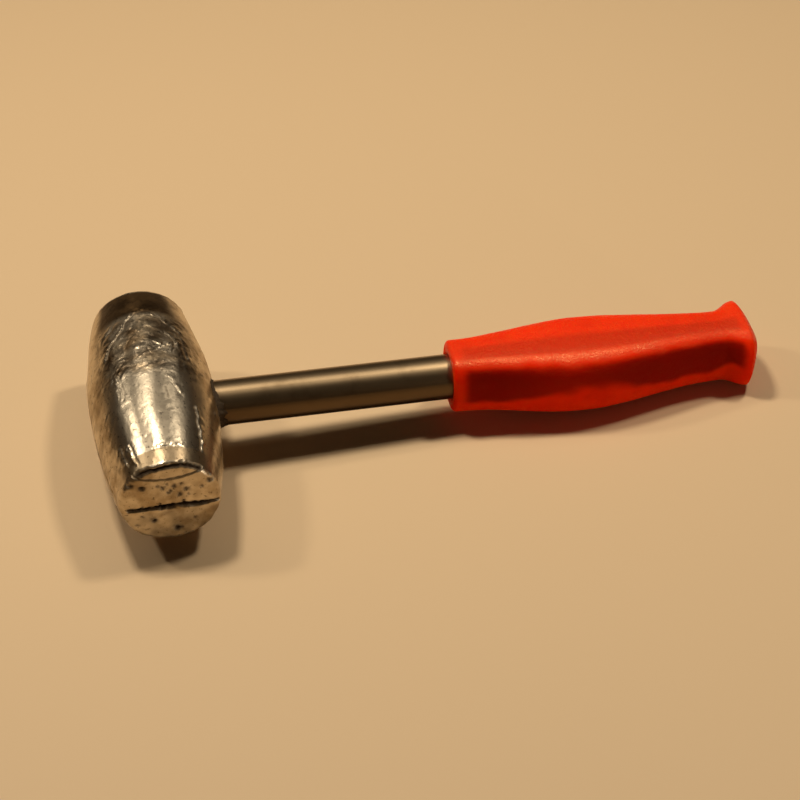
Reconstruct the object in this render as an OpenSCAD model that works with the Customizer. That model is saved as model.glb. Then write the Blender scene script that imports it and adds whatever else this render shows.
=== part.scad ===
// Lead hammer: a barrel-shaped lead head cast round the end of a steel tube,
// with a moulded vinyl grip pushed over the other end of the tube.
// It lies on a table as it is put down: the barrel touches at its middle and
// the grip at its flared heel, so the handle dips a little towards the heel.
// X runs from the head to the heel, Y is the striking axis, Z is up. Millimetres.

/* [Lead head] */
// Distance between the two striking faces
head_length = 113; // [70:0.5:180]
// Diameter of the barrel at its middle
head_middle_d = 52.5; // [44:0.5:90]
// Diameter of the barrel at each striking face
face_d = 40; // [28:0.5:43]
// Rounding of the edge round each striking face
face_edge_r = 2.5; // [0.5:0.1:5]
// Diameter of the lead collar that crept up round the tube
collar_d = 24; // [21:0.5:30]
// How far the collar stands out of the side of the head
collar_stand = 1.8; // [0.4:0.1:5]
// Bevel round the collar's outer rim
collar_bevel = 1.2; // [0.2:0.1:1.6]

/* [Handle tube] */
// Outer diameter of the steel tube
tube_d = 19.05; // [12:0.05:20]
// Wall of the tube
tube_wall = 2; // [1:0.1:3.5]
// How far the tube runs past the striking axis inside the lead
tube_depth = 15; // [12:0.5:19]
// Diameter of the crossed holes that key the tube into the lead
key_hole_d = 7; // [3:0.5:8]
// Distance between the two crossed key holes
key_spacing = 12; // [9:0.5:14]
// Distance from the tube's inner end to the first key hole
key_end_distance = 9; // [5:0.5:11]

/* [Pour stop] */
// Distance from the striking axis to the closed end of the stop cup
stop_distance = 22; // [17:0.5:40]
// Depth of the stamped cup
stop_depth = 6; // [3:0.5:14]
// Sheet thickness of the cup
stop_wall = 1.2; // [0.6:0.1:2.5]
// Rounding of the cup's closed edge
stop_edge_r = 1.5; // [0.3:0.1:2.8]

/* [Grip] */
// Distance from the striking axis to the grip's front lip
grip_start = 124.5; // [100:0.5:150]
// Length of the grip from its front lip to the crown of its closed heel
grip_length = 136; // [115:0.5:170]
// How square the grip's section is: 2 is an oval, 5 nearly a box
squareness = 3.2; // [2:0.1:5]
// Width at the front lip, along the striking axis
lip_width = 25; // [24.5:0.1:40]
// Thickness at the front lip
lip_thickness = 28; // [25:0.1:40]
// Rounding of the front lip
lip_r = 2; // [0.5:0.1:2.2]
// Width of the palm swell, along the striking axis
swell_width = 38.8; // [30:0.2:60]
// Thickness of the palm swell
swell_thickness = 32; // [26:0.1:34]
// How much further the palm swell stands out on the near side than on the far side
swell_lean = 2.8; // [0:0.1:5]
// Distance from the front lip to the palm swell
swell_at = 56.5; // [30:0.5:90]
// Distance from the waist to the crest of the flared heel
flare_length = 10.5; // [6:0.5:20]
// Distance from the crest of the heel to its crown
crown_length = 7.5; // [5:0.5:9]
// Vinyl between the tube's end and the crown
end_wall = 5; // [4.5:0.5:20]
// Width of the waist in front of the heel
waist_width = 25; // [24:0.1:40]
// Thickness of the waist
waist_thickness = 27.4; // [24:0.1:34]
// Width of the flared heel, along the striking axis
heel_width = 36; // [30:0.2:60]
// Thickness of the flared heel
heel_thickness = 29.6; // [26:0.1:40]
// How full the crown of the heel is: 1 is a cone, 2 an ellipse
crown_fullness = 1.3; // [1.1:0.05:2.5]

/* [Fits] */
// Gap that shrinkage leaves between the lead and the steel it is cast round
cast_gap = 0.05; // [0.02:0.01:0.15]
// Clearance of the stop cup in the tube and of the tube in the grip
push_fit = 0.05; // [0.02:0.01:0.15]

/* [Hidden] */

// Facets of round parts, and of the large circle whose arc is the barrel's side
round_fn = 96;
barrel_fn = 1440;
// Sides of the grip's section, and rings along its lip, each eased stretch and its crown
section_sides = 64;
lip_rings = 5;
stretch_rings = 12;
flare_rings = 7;
crown_rings = 9;
// How far a cutting shape runs past the face it opens
cut_over = 1;

head_r = head_middle_d / 2;
tube_r = tube_d / 2;
bore_r = tube_r - tube_wall;
key_r = key_hole_d / 2;
// Places along the grip, from its front lip
heel_at = grip_length - crown_length;
waist_at = heel_at - flare_length;
// Places along the handle, from the striking axis
grip_end = grip_start + grip_length;
tube_reach = grip_end - end_wall;

// The barrel's side is an arc through its middle and both face edges.
half_length = head_length / 2;
arc_rise = head_r - face_d / 2;
arc_r = (half_length * half_length + arc_rise * arc_rise) / (2 * arc_rise);
arc_centre_x = head_r - arc_r;
// Centre of the edge rounding, which touches the arc and the face from inside
edge_y = half_length - face_edge_r;
edge_x = arc_centre_x + sqrt(pow(arc_r - face_edge_r, 2) - edge_y * edge_y);
// Where the edge rounding meets the arc
arc_end_y = edge_y * arc_r / (arc_r - face_edge_r);

function mix(a, b, t) = a + (b - a) * t;
function ease(t) = (1 - cos(180 * t)) / 2;

// Half size of the grip's body at distance u from its front lip, eased between
// its lip, palm swell, waist and heel
function body_half(u, at_lip, at_swell, at_waist, at_heel) =
    u < swell_at ? mix(at_lip, at_swell, ease(u / swell_at))
    : u < waist_at ? mix(at_swell, at_waist, ease((u - swell_at) / (waist_at - swell_at)))
    : mix(at_waist, at_heel, ease((u - waist_at) / (heel_at - waist_at)));
function half_width(u) = body_half(u, lip_width / 2, swell_width / 2, waist_width / 2, heel_width / 2);
function half_thickness(u) =
    body_half(u, lip_thickness / 2, swell_thickness / 2, waist_thickness / 2, heel_thickness / 2);
// Shift of the section's middle towards the near side, which fades out at lip and waist
function lean(u) = body_half(u, 0, swell_lean / 2, 0, 0);
// How far a section's corner reaches beyond an oval's at this angle
function fullness(a) =
    pow(pow(abs(cos(a)), squareness) + pow(abs(sin(a)), squareness), -1 / squareness);
// How much the lip's rounding draws the section in
function lip_inset(u) = u < lip_r ? lip_r - sqrt(lip_r * lip_r - pow(lip_r - u, 2)) : 0;

// A ring is [distance from the striking axis, half width, half thickness, lean].
function body_ring(u) =
    [grip_start + u, half_width(u) - lip_inset(u), half_thickness(u) - lip_inset(u), lean(u)];
function crown_ring(a) = let (s = pow(cos(a), 2 / crown_fullness))
    [grip_end - crown_length * (1 - pow(sin(a), 2 / crown_fullness)),
     s * heel_width / 2, s * heel_thickness / 2, 0];
grip_rings = concat(
    [for (i = [0:lip_rings - 1]) body_ring(lip_r * (1 - cos(90 * i / lip_rings)))],
    [for (i = [0:stretch_rings - 1]) body_ring(mix(lip_r, swell_at, i / stretch_rings))],
    [for (i = [0:stretch_rings - 1]) body_ring(mix(swell_at, waist_at, i / stretch_rings))],
    [for (i = [0:flare_rings]) body_ring(mix(waist_at, heel_at, i / flare_rings))],
    [for (i = [1:crown_rings - 1]) crown_ring(90 * i / crown_rings)]);

// At rest the handle dips until the first ring of the grip meets the table.
rest_dip = min([for (r = grip_rings) asin(head_r / norm([r[0], r[2]])) - atan2(r[2], r[0])]);
// The origin is under the middle of the whole hammer.
reach_x = max(concat(
    [for (r = grip_rings) r[0] * cos(rest_dip) + r[2] * sin(rest_dip)],
    [grip_end * cos(rest_dip)]));
middle_x = (reach_x - head_r) / 2;

// Puts a piece drawn round the head's centre, handle along X, as it lies on the table
module at_rest() {
    translate([-middle_x, 0, head_r])
        rotate([0, rest_dip, 0])
            children();
}

// A round piece along the handle, from distance a to distance b
module along_handle(a, b, r) {
    translate([a, 0, 0])
        rotate([0, 90, 0])
            cylinder(h = b - a, r = r, $fn = round_fn);
}

// Half of the barrel's outline: the arc, the face and the edge rounding between them
module barrel_outline() {
    intersection() {
        translate([arc_centre_x, 0])
            circle(r = arc_r, $fn = barrel_fn);
        translate([0, -arc_end_y])
            square([head_r + cut_over, 2 * arc_end_y]);
    }
    translate([0, -half_length])
        square([edge_x, head_length]);
    for (side = [-1, 1])
        translate([edge_x, side * edge_y])
            circle(r = face_edge_r, $fn = round_fn);
}

module barrel() {
    rotate([90, 0, 0])
        rotate_extrude($fn = round_fn)
            barrel_outline();
}

// The collar starts inside the barrel and ends in a bevelled rim round the tube
module collar() {
    collar_end = head_r + collar_stand;
    along_handle(0, collar_end - collar_bevel, collar_d / 2);
    translate([collar_end - collar_bevel, 0, 0])
        rotate([0, 90, 0])
            cylinder(h = collar_bevel, r1 = collar_d / 2, r2 = collar_d / 2 - collar_bevel, $fn = round_fn);
}

// The two key holes cross each other: the first runs along Y, the second along Z
module key_cross(r, length) {
    first_x = key_end_distance - tube_depth;
    translate([first_x, 0, 0])
        rotate([90, 0, 0])
            cylinder(h = length, r = r, center = true, $fn = round_fn);
    translate([first_x + key_spacing, 0, 0])
        cylinder(h = length, r = r, center = true, $fn = round_fn);
}

// Lead fills the tube as far as the pour stop and runs out through the key holes,
// so that core, keys and barrel are one casting that holds the tube
module lead_head() {
    color([0.58, 0.57, 0.54])
        at_rest() {
            difference() {
                union() {
                    barrel();
                    collar();
                }
                along_handle(-tube_depth - cast_gap, head_r + collar_stand + cut_over, tube_r + cast_gap);
            }
            along_handle(-tube_depth - cast_gap - cut_over, stop_distance - cast_gap, bore_r - cast_gap);
            key_cross(key_r - cast_gap, tube_d + 2 * cut_over);
        }
}

module handle_tube() {
    color([0.62, 0.6, 0.56])
        at_rest()
            difference() {
                along_handle(-tube_depth, tube_reach, tube_r);
                along_handle(-tube_depth - cut_over, tube_reach + cut_over, bore_r);
                key_cross(key_r, tube_d + 2 * cut_over);
            }
}

// A stamped cup, pressed into the tube with its closed end towards the lead
module pour_stop() {
    cup_r = bore_r - push_fit;
    color([0.5, 0.5, 0.52])
        at_rest()
            translate([stop_distance, 0, 0])
                rotate([0, 90, 0])
                    rotate_extrude($fn = round_fn)
                        difference() {
                            union() {
                                translate([0, stop_edge_r])
                                    square([cup_r, stop_depth - stop_edge_r]);
                                square([cup_r - stop_edge_r, stop_edge_r]);
                                intersection() {
                                    translate([cup_r - stop_edge_r, stop_edge_r])
                                        circle(r = stop_edge_r, $fn = round_fn);
                                    square([cup_r, stop_edge_r]);
                                }
                            }
                            translate([-cut_over, stop_wall])
                                square([cut_over + cup_r - stop_wall, stop_depth]);
                        }
}

// The grip's outside, lofted through its rounded-square rings and closed by a point at the crown
module grip_skin() {
    ring_count = len(grip_rings);
    points = concat(
        [for (r = grip_rings) for (k = [0:section_sides - 1])
            let (a = 360 * k / section_sides, full = fullness(a))
            [r[0], -r[3] + r[1] * full * cos(a), r[2] * full * sin(a)]],
        [[grip_end, 0, 0]]);
    crown = ring_count * section_sides;
    function at(ring, k) = ring * section_sides + k % section_sides;
    faces = concat(
        [[for (k = [0:section_sides - 1]) k]],
        [for (i = [0:ring_count - 2]) for (k = [0:section_sides - 1])
            [at(i, k), at(i + 1, k), at(i + 1, k + 1)]],
        [for (i = [0:ring_count - 2]) for (k = [0:section_sides - 1])
            [at(i, k), at(i + 1, k + 1), at(i, k + 1)]],
        [for (k = [0:section_sides - 1]) [at(ring_count - 1, k), crown, at(ring_count - 1, k + 1)]]);
    polyhedron(points = points, faces = faces);
}

module grip() {
    color([0.8, 0.1, 0.03])
        at_rest()
            difference() {
                grip_skin();
                along_handle(grip_start - cut_over, tube_reach + push_fit, tube_r + push_fit);
            }
}

lead_head();
handle_tube();
pour_stop();
grip();
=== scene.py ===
# %% [markdown]
# # A lead hammer, dressed for its picture
#
# The hammer is four real things: a casting of soft lead, a steel tube that the lead was poured round,
# a small stamped cup inside the tube that stopped the pour, and a red vinyl grip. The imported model
# already holds them at their real sizes. This lesson gives each its surface: the cold shuts, dents and
# parting crack of a rough casting, the drawn steel, and the fine grain of moulded vinyl.

import math

import bpy
import numpy as np
from mathutils import Matrix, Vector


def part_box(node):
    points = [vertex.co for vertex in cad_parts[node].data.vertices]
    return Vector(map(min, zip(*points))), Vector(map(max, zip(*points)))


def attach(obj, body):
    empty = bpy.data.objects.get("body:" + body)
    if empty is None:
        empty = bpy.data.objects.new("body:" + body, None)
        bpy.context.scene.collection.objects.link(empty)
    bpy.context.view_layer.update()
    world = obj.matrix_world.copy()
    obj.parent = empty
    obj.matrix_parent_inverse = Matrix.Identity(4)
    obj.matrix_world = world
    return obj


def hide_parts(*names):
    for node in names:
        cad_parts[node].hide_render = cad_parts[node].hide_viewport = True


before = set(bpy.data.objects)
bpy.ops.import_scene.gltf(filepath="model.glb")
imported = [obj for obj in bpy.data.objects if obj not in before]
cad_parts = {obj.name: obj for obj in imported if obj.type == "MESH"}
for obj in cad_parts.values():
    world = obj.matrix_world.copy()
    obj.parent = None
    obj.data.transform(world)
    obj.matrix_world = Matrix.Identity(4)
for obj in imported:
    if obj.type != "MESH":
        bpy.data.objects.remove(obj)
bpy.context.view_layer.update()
print("nodes:", sorted(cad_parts))

# %% [markdown]
# ## Sizes and the lying pose
#
# Every shape below is first worked out in millimetres in the hammer's own frame: the head's centre at
# the origin, X along the handle, Y through the two striking faces and Z up. The real hammer rests on
# the widest line of its barrel and on the grip's heel, so its handle dips a little. The last step of
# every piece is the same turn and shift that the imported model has.

# %% The driving sizes, in millimetres
HEAD_LENGTH = 113.0
HEAD_MIDDLE_D = 52.5
FACE_D = 40.0
FACE_EDGE_R = 2.5
TUBE_D = 19.05
GRIP_START = 124.5
GRIP_LENGTH = 136.0
PUSH_FIT = 0.05
END_WALL = 5.0

HEAD_R = HEAD_MIDDLE_D / 2
FACE_R = FACE_D / 2
TUBE_R = TUBE_D / 2
HALF_LENGTH = HEAD_LENGTH / 2
GRIP_END = GRIP_START + GRIP_LENGTH

REST_DIP = math.radians(2.59736)
MIDDLE_X = 116.991


def to_table(points):
    """Hammer frame in mm to the table in metres: a turn by the dip about Y, then a shift along and up."""
    x, y, z = np.moveaxis(np.asarray(points, float), -1, 0)
    c, s = math.cos(REST_DIP), math.sin(REST_DIP)
    return np.stack([x * c + z * s - MIDDLE_X, y, z * c - x * s + HEAD_R], axis=-1) / 1000


print("grip ends at", GRIP_END, "mm from the head's centre")

# %% [markdown]
# ## The camera
#
# A camera was fitted to the outlines of the head and the tube. It stands a little to the left of the
# hammer and looks down at about 41 degrees through a long lens, so the far face of the head is only a
# little smaller than the near one.

# %% The camera
CAMERA_AT = (-0.1413, -0.6814, 0.6118)
CAMERA_RIGHT = (0.9790, -0.2029, -0.0222)
CAMERA_BACK = (-0.1392, -0.7431, 0.6546)
SENSOR_MM = 36.0
FOCAL_IN_PICTURE_WIDTHS = 2167 / 800


def add_object(name, data):
    """A new object with that data, linked to the scene."""
    made = bpy.data.objects.new(name, data)
    bpy.context.scene.collection.objects.link(made)
    return made


def look(at, right, back):
    """Camera matrix from its place, its right-hand direction and the direction behind it."""
    back = np.array(back) / np.linalg.norm(back)
    right = np.array(right) - np.dot(right, back) * back
    right /= np.linalg.norm(right)
    matrix = Matrix.Identity(4)
    for column, axis in enumerate((right, np.cross(back, right), back, at)):
        for row in range(3):
            matrix[row][column] = axis[row]
    return matrix


camera_data = bpy.data.cameras.new("camera")
camera_data.sensor_width = SENSOR_MM
camera_data.lens = FOCAL_IN_PICTURE_WIDTHS * SENSOR_MM
camera = add_object("camera", camera_data)
camera.matrix_world = look(CAMERA_AT, CAMERA_RIGHT, CAMERA_BACK)
bpy.context.scene.camera = camera
print("lens", round(camera_data.lens, 1), "mm")

# %% [markdown]
# ## Table, lamps and room
#
# The hammer lies on a pale tan table top. One big lamp would give one broad glare, and the real barrel
# shows three streaks, so three soft lamps hang in a row over the handle's line, a little behind the
# hammer. They draw the streaks and the one dark shadow in front of the handle. A long dim panel in the
# same line fills the barrel between the streaks, and a small card low in front of the grip throws some
# light back under its near edge. The room is dim, which gives the metal its dark bands. The lamps are
# set so that a white card on the table would come out white.


# %% The table and the room
TABLE_RADIUS = 6.0
TABLE_TAN = (0.64, 0.45, 0.255, 1.0)
TABLE_ROUGHNESS = 0.6
TABLE_SHINE = 0.3
ROOM_DARK = (0.018, 0.012, 0.008, 1.0)
ROOM_STRENGTH = 1.0


def disc(name, radius, spokes=96):
    """Flat disc at the table's height: a centre vertex and one ring at (radius cos a, radius sin a)."""
    a = np.linspace(0, 2 * np.pi, spokes, endpoint=False)
    ring = np.stack([radius * np.cos(a), radius * np.sin(a), np.zeros(spokes)], axis=-1)
    faces = [(0, 1 + i, 1 + (i + 1) % spokes) for i in range(spokes)]
    mesh = bpy.data.meshes.new(name)
    mesh.from_pydata([(0.0, 0.0, 0.0)] + ring.tolist(), [], faces)
    return add_object(name, mesh)


table = disc("table_top", TABLE_RADIUS)
table_finish = bpy.data.materials.new("tan_table")
table_finish.use_nodes = True
table_shader = table_finish.node_tree.nodes["Principled BSDF"]
table_shader.inputs["Base Color"].default_value = TABLE_TAN
table_shader.inputs["Roughness"].default_value = TABLE_ROUGHNESS
table_shader.inputs["Specular IOR Level"].default_value = TABLE_SHINE
table.data.materials.append(table_finish)

world = bpy.data.worlds.new("dim_room")
world.use_nodes = True
world.node_tree.nodes["Background"].inputs["Color"].default_value = ROOM_DARK
world.node_tree.nodes["Background"].inputs["Strength"].default_value = ROOM_STRENGTH
bpy.context.scene.world = world
bpy.context.scene.view_settings.view_transform = "Standard"
print("table top", TABLE_RADIUS, "m in radius")

# %% The lamps
LAMP_WARMTH = (1.0, 0.91, 0.77)
LAMP_AIM = (-0.05, 0.0, 0.02)
LAMP_UP = (0, 1, 0)
# Each row: name, direction from the aim point, distance, width and depth in metres, power in watts
LAMPS = (
    ("lamp_left", (-0.90, 0.42, 1.0), 1.1, 0.09, 0.09, 2.3),
    ("lamp_middle", (-0.20, 0.26, 1.0), 1.1, 0.15, 0.14, 6.3),
    ("lamp_right", (0.52, 0.16, 1.0), 1.1, 0.11, 0.12, 4.3),
    ("lit_wall", (-0.10, 0.36, 1.0), 1.1, 1.75, 0.28, 1.9),
    ("low_card", (0.66, -0.75, -0.017), 0.62, 0.24, 0.010, 0.6),
)


def soft_lamp(name, direction, distance, width, depth, power):
    """Oblong lamp at a distance along a direction from the aim point, its -Z axis turned to the aim."""
    d = np.array(direction) / np.linalg.norm(direction)
    data = bpy.data.lights.new(name, "AREA")
    data.shape = "RECTANGLE"
    data.size = width
    data.size_y = depth
    data.energy = power
    data.color = LAMP_WARMTH
    lamp = add_object(name, data)
    lamp.matrix_world = look(np.array(LAMP_AIM) + distance * d, np.cross(LAMP_UP, d), d)
    lamp.visible_camera = False


for lamp in LAMPS:
    soft_lamp(*lamp)
print(len(LAMPS), "lamps,", round(sum(lamp[-1] for lamp in LAMPS), 1), "W in all")

# %% [markdown]
# ## Helpers for shapes
#
# Each new piece is a grid of points: rows run along a profile and columns go round it. The grid closes
# on itself round the piece, and where both ends shrink to a point they close with a fan of triangles,
# so the mesh is watertight.


# %% A closed skin from a grid of points
def grid_faces(rows, columns, wrap_rows=False):
    """Quads between neighbouring rows and columns, with the columns, and the rows if asked, joined round."""
    row_pairs = rows if wrap_rows else rows - 1
    i, j = np.meshgrid(np.arange(row_pairs), np.arange(columns), indexing="ij")
    i_next, j_next = (i + 1) % rows, (j + 1) % columns
    corners = (i * columns + j, i * columns + j_next, i_next * columns + j_next, i_next * columns + j)
    return np.stack(corners, axis=-1).reshape(-1, 4)


def build_mesh(name, points, quads, triangles):
    """Mesh from point, quad and triangle arrays, filled in with foreach_set and shaded smooth."""
    loops = np.concatenate([quads.ravel(), triangles.ravel()])
    sizes = np.concatenate([np.full(len(quads), 4), np.full(len(triangles), 3)])
    starts = np.concatenate([[0], np.cumsum(sizes)[:-1]])
    mesh = bpy.data.meshes.new(name)
    mesh.vertices.add(len(points))
    mesh.vertices.foreach_set("co", np.asarray(points, np.float32).ravel())
    mesh.loops.add(len(loops))
    mesh.loops.foreach_set("vertex_index", loops.astype(np.int32))
    mesh.polygons.add(len(sizes))
    mesh.polygons.foreach_set("loop_start", starts.astype(np.int32))
    mesh.polygons.foreach_set("use_smooth", np.ones(len(sizes), bool))
    mesh.update(calc_edges=True)
    mesh.validate()
    return add_object(name, mesh)


def pole_fans(rows, columns):
    """Triangles that close the first and last row onto two pole points stored after the grid."""
    j = np.arange(columns)
    j_next = (j + 1) % columns
    near, far = rows * columns, rows * columns + 1
    last = (rows - 1) * columns
    first_fan = np.stack([np.full(columns, near), j_next, j], axis=-1)
    last_fan = np.stack([np.full(columns, far), last + j, last + j_next], axis=-1)
    return np.concatenate([first_fan, last_fan])


def outward(points, quads, triangles):
    """The same faces, turned over if the volume that they enclose comes out negative."""
    three = np.concatenate([quads[:, [0, 1, 2]], quads[:, [0, 2, 3]], triangles])
    a, b, c = (points[three[:, k]] for k in range(3))
    volume = (a * np.cross(b, c)).sum() / 6
    return (quads, triangles) if volume > 0 else (quads[:, ::-1], triangles[:, ::-1])


def closed_grid(points, rows, columns):
    """Quads and end fans, facing outward, of a grid whose two pole points are stored last."""
    return outward(points, grid_faces(rows, columns), pole_fans(rows, columns))


def save_mask(piece, name, values):
    """Store one number per vertex, which a material reads by this name."""
    layer = piece.data.attributes.new(name, "FLOAT", "POINT")
    layer.data.foreach_set("value", np.asarray(values, np.float32).ravel())


# %% Waves for uneven surfaces, and soft edges for masks
WAVE_COUNT = 28
LENGTH_SPREAD = (0.7, 1.5)


def waves(points, length, seed):
    """Smooth noise about -1 to 1: a sum of cosines in random directions, each near `length` mm long."""
    draw = np.random.default_rng(seed)
    directions = draw.normal(size=(WAVE_COUNT, 3))
    directions /= np.linalg.norm(directions, axis=1)[:, None]
    numbers = 2 * np.pi / (length * draw.uniform(*LENGTH_SPREAD, WAVE_COUNT))
    phases = draw.uniform(0, 2 * np.pi, WAVE_COUNT)
    flat = np.asarray(points, float).reshape(-1, 3)
    total = np.zeros(len(flat))
    for direction, number, phase in zip(directions, numbers, phases):
        total += np.cos(flat @ (direction * number) + phase)
    return (total * math.sqrt(2 / WAVE_COUNT) / 2).reshape(np.shape(points)[:-1])


def ease(t):
    """Smooth step from 0 to 1 with flat ends."""
    t = np.clip(t, 0, 1)
    return t * t * (3 - 2 * t)


def above(value, start, fade):
    """0 up to the start, then rising smoothly to 1 over the fade."""
    return ease((value - start) / fade)


def below(value, end, fade):
    """1 at first, falling smoothly over the last fade to 0 at the end."""
    return ease((end - value) / fade)


def bell(distance, width):
    """1 at distance 0, falling off as exp(-(distance / width)^2)."""
    return np.exp(-((distance / width) ** 2))


# %% [markdown]
# ## The lead casting
#
# The head is cast in one pour in a two-part mould, and lead chills fast: its skin shows folded flow
# lines (cold shuts), foil-like crinkles, pits, and a parting crack across the faces where the mould
# halves met. It could be sculpted by hand or displaced by a texture, but here the barrel is turned from
# its profile as a fine grid, and all but the finest marks are heights in millimetres, worked out as
# arrays. So they are real shape, which catches the lamps.


# %% The barrel's profile
ARC_RISE = HEAD_R - FACE_R
ARC_R = (HALF_LENGTH**2 + ARC_RISE**2) / (2 * ARC_RISE)
ARC_CENTRE = HEAD_R - ARC_R
EDGE_Y = HALF_LENGTH - FACE_EDGE_R
EDGE_X = ARC_CENTRE + math.sqrt((ARC_R - FACE_EDGE_R) ** 2 - EDGE_Y**2)
ARC_END_Y = EDGE_Y * ARC_R / (ARC_R - FACE_EDGE_R)
LEAD_COLUMNS = 288
ARC_ROWS = 262
INNER_RING_R = 0.35
MIRRORED_Y = (1, -1, 1, -1)
# Columns crowd towards the top, which is seen most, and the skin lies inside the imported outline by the
# inset, so that its crests have room
TOP_DENSITY = 0.5
LEAD_INSET = 0.18


def end_profile(face_rows, edge_rows):
    """Radius, y and outward normal from the near face's middle out over its round edge."""
    face_r = np.linspace(INNER_RING_R, EDGE_X, face_rows, endpoint=False)
    turn_end = math.atan2(ARC_END_Y - EDGE_Y, ARC_CENTRE + math.sqrt(ARC_R**2 - ARC_END_Y**2) - EDGE_X)
    turn = np.linspace(math.pi / 2, turn_end, edge_rows, endpoint=False)
    r = np.concatenate([face_r, EDGE_X + FACE_EDGE_R * np.cos(turn)])
    y = np.concatenate([-HALF_LENGTH + 0 * face_r, -EDGE_Y - FACE_EDGE_R * np.sin(turn)])
    outward_r = np.concatenate([0 * face_r, np.cos(turn)])
    outward_y = np.concatenate([-1 + 0 * face_r, -np.sin(turn)])
    return np.stack([r, y, outward_r, outward_y], axis=-1)


def barrel_profile():
    """The whole outline: near face and edge in fine rows, the long arc, and the far end in coarser rows."""
    arc_y = np.linspace(-ARC_END_Y, ARC_END_Y, ARC_ROWS)
    arc_x = ARC_CENTRE + np.sqrt(ARC_R**2 - arc_y**2)
    arc = np.stack([arc_x, arc_y, (arc_x - ARC_CENTRE) / ARC_R, arc_y / ARC_R], axis=-1)
    near_end = end_profile(face_rows=38, edge_rows=9)
    far_end = end_profile(face_rows=18, edge_rows=6)[::-1] * MIRRORED_Y
    return np.concatenate([near_end, arc, far_end])


profile = barrel_profile()
LEAD_ROWS = len(profile)
turns = np.linspace(-np.pi, np.pi, LEAD_COLUMNS, endpoint=False)
phi = turns - TOP_DENSITY * np.sin(turns)
profile_r, profile_y, outward_r, outward_y = (profile[:, [k]] for k in range(4))
RADIUS = profile_r + 0 * phi
ALONG = profile_y + 0 * phi
ROUND = phi + 0 * RADIUS
NORMAL = np.stack([outward_r * np.sin(phi), outward_y + 0 * phi, outward_r * np.cos(phi)], axis=-1)
SKIN = np.stack([RADIUS * np.sin(ROUND), ALONG, RADIUS * np.cos(ROUND)], axis=-1)
print("lead grid", LEAD_ROWS, "by", LEAD_COLUMNS, "=", 2 * LEAD_ROWS * LEAD_COLUMNS, "triangles")

# %% [markdown]
# A traced line is a short list of points on the barrel as (y in mm, degrees round from the top towards
# the handle), or on a face as (x, z). The distance of every grid point to the line gives a low step with
# a groove along its foot, as where one tongue of lead folded over another.


# %% Lines on the casting
def line_distance(u, v, path):
    """Distance of points (u, v) from the nearest segment of a polyline, positive on its left, and how far
    they lie past its ends."""
    best = np.full(np.shape(u), 1e9)
    side = np.ones(np.shape(u))
    past = np.zeros(np.shape(u))
    last = len(path) - 2
    for k, ((u0, v0), (u1, v1)) in enumerate(zip(path[:-1], path[1:])):
        du, dv = u1 - u0, v1 - v0
        length = math.hypot(du, dv)
        t = ((u - u0) * du + (v - v0) * dv) / length**2
        before = -t * length if k == 0 else 0 * t
        after = (t - 1) * length if k == last else 0 * t
        t = np.clip(t, 0, 1)
        eu, ev = u - u0 - t * du, v - v0 - t * dv
        d = np.hypot(eu, ev)
        nearer = d < best
        best = np.where(nearer, d, best)
        side = np.where(nearer, np.sign(du * ev - dv * eu), side)
        past = np.where(nearer, np.maximum(np.maximum(before, after), 0), past)
    return best * side, past


# How far drawn lines wander, in millimetres, and how strong each part of a line is
WANDER = waves(SKIN, 6.0, seed=11) * 0.40 + waves(SKIN, 1.9, seed=14) * 0.22
WANDER_ROUND = waves(SKIN, 6.0, seed=12) * 0.40 + waves(SKIN, 1.9, seed=15) * 0.22
BREAKS = np.clip(0.62 + 0.55 * waves(SKIN, 3.6, seed=13) + 0.25 * waves(SKIN, 1.5, seed=16), 0.05, 1.3)
MEAN_R = 24.5
ARC_MM = ROUND * MEAN_R
ON_BARREL = below(np.abs(ALONG), HALF_LENGTH - 1.2, 2.0)
STEP_WIDTH = 0.28


def barrel_distance(path):
    """Wandering distance from a path of (y, degrees) on the barrel, and how far past its ends."""
    path = [(y, math.radians(angle) * MEAN_R) for y, angle in path]
    return line_distance(ALONG + WANDER, ARC_MM + WANDER_ROUND, path)


def fold(path, height, low_side, run):
    """Edge of a tongue of lead that lapped over: a step 1 / (1 + exp(-d/w)) down to the low side (1 is left
    of the path, -1 right), which fades out over `run` mm behind it, with a groove along its foot."""
    d, past = barrel_distance(path)
    d = -low_side * d
    step = np.exp(-np.maximum(d, 0) / run) / (1 + np.exp(-np.clip(d / STEP_WIDTH, -30, 30)))
    foot = 0.45 * bell(d + 0.75, 0.45)
    return height * BREAKS * (step - foot) * bell(past, 0.9) * ON_BARREL


print("skin runs from y", round(float(ALONG.min()), 1), "to", round(float(ALONG.max()), 1))

# %% The folds of the pour
OUTER_ARCH = [
    (12, -42), (18, -39), (22, -32), (24, -25), (30.5, -20), (33.5, -14), (36.5, -8), (38, 0),
    (37.5, 9), (35, 15), (29.5, 20), (27, 29), (23.5, 34), (17, 36), (10, 36.5), (3.5, 37),
]
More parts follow.
